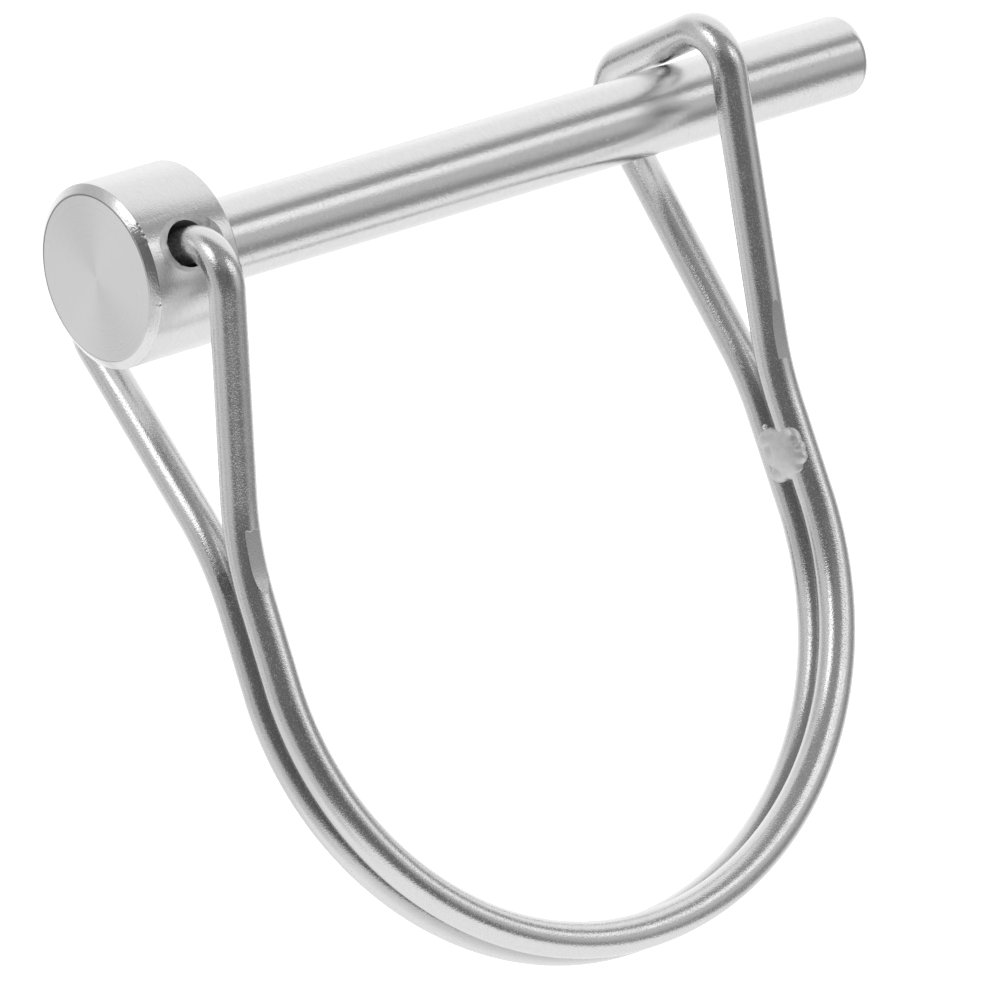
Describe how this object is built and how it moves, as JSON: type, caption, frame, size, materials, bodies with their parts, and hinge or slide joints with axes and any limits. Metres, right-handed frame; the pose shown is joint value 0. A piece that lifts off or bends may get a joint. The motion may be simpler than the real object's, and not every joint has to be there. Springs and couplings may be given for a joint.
{
  "type": "coupler pin",
  "caption": "Coupler pin: a turned pin with a cross-drilled head and a spring wire bail that swings in it, loops below the pin and closes around the shank near its tip.",
  "frame": {"origin": "centre of the head's underside, on the pin's axis", "axes": "+X along the pin towards its tip, +Z along the cross hole and the bail's hinge axis, with the bail's loop towards -Y"},
  "size_m": [0.0917, 0.084, 0.027],
  "materials": {
    "turned_steel": "satin",
    "wire_steel": "satin"
  },
  "bodies": {
    "pin_body": {"pin": "turned_steel"},
    "bail_body": {"wire_bail": "wire_steel"}
  },
  "joints": [
    {"name": "bail_swing", "type": "hinge", "parent": "pin_body", "child": "bail_body", "pos_m": [-0.00455, -0.0002, 0], "axis": [0, 0, 1], "range_deg": [-250, 8], "deforming": ["wire_bail"]}
  ]
}
